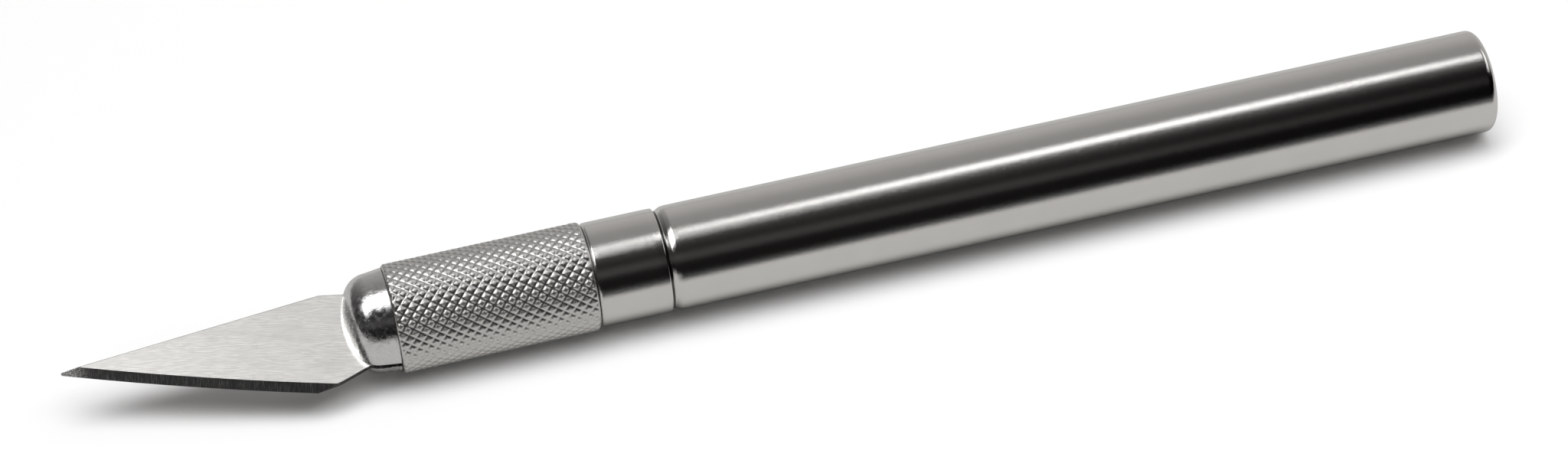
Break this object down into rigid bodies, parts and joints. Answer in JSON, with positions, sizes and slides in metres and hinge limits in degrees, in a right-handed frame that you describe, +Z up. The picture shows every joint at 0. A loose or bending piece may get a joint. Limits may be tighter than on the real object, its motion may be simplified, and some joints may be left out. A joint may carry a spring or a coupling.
{
  "type": "hobby craft knife",
  "caption": "Pen-shaped craft knife: round bar handle with a groove, knurled chuck sleeve, split collet with a rounded nose, and a pointed blade that the collet clamps.",
  "frame": {"origin": "middle of the knife's footprint, on the surface that it lies on", "axes": "+X along the handle from the blade to the rear end, +Z up, the cutting edge faces -Y and down"},
  "size_m": [0.154, 0.012, 0.0115],
  "materials": {
    "polished_bar": "polished",
    "knurled_metal": "satin",
    "collet_metal": "polished",
    "blade_steel": "brushed"
  },
  "bodies": {
    "handle": {"handle": "polished_bar"},
    "sleeve": {"knurled_sleeve": "knurled_metal"},
    "collet": {"split_collet": "collet_metal"},
    "blade": {"blade": "blade_steel"}
  },
  "joints": [
    {"name": "sleeve_turn", "type": "hinge", "parent": "handle", "child": "sleeve", "pos_m": [-0.0319, 0.00025, 0.00577], "axis": [-1, 0, 0], "range_deg": [0, 1440]},
    {"name": "collet_draw", "type": "slide", "parent": "sleeve", "child": "collet", "axis": [-1, 0, 0], "range_m": [0, 0.00363]},
    {"name": "blade_pull", "type": "slide", "parent": "collet", "child": "blade", "axis": [-0.9973, -0.0697, -0.0226], "range_m": [0, 0.016]}
  ],
  "couplings": [
    {"joint": "collet_draw", "follows": "sleeve_turn", "m_per_rad": 0.00014438}
  ]
}
